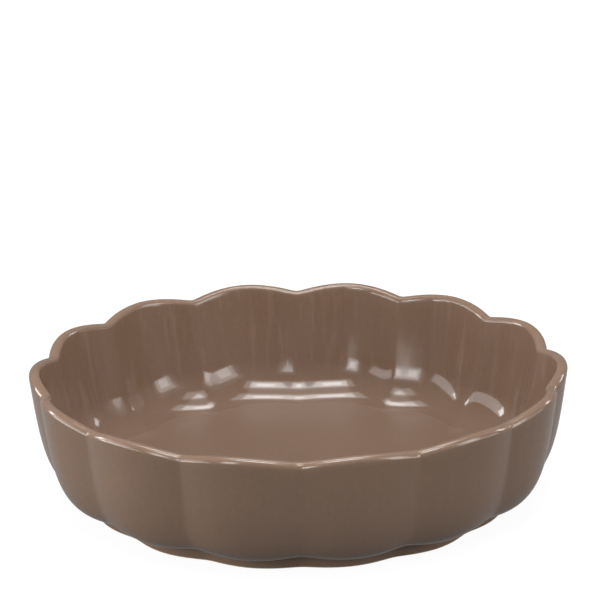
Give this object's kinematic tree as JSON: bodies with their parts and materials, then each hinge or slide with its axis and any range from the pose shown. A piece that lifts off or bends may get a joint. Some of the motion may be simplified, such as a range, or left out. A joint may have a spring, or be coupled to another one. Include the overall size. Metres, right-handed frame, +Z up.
{
  "type": "baking dish",
  "caption": "Deep round stoneware baking dish with a fluted, scalloped wall on a low foot ring, glazed inside and out, for baking and serving.",
  "frame": {"origin": "centre of the foot ring's standing face, on the surface that the dish rests on", "axes": "+Z up along the dish's axis; the notch between two lobes at the front centre of the picture is on -Y; +X to the right"},
  "size_m": [0.28, 0.2756, 0.069],
  "materials": {
    "stoneware": "matt, unglazed where the foot ring stands",
    "outside_glaze": "glossy taupe brown glaze",
    "inside_glaze": "glossy taupe brown glaze",
    "well_glaze": "glossy taupe brown glaze, thinner"
  },
  "bodies": {
    "root": {"stoneware_body": "stoneware", "outside_glaze": "outside_glaze", "inside_glaze": "inside_glaze", "foot_well_glaze": "well_glaze"}
  },
  "joints": []
}
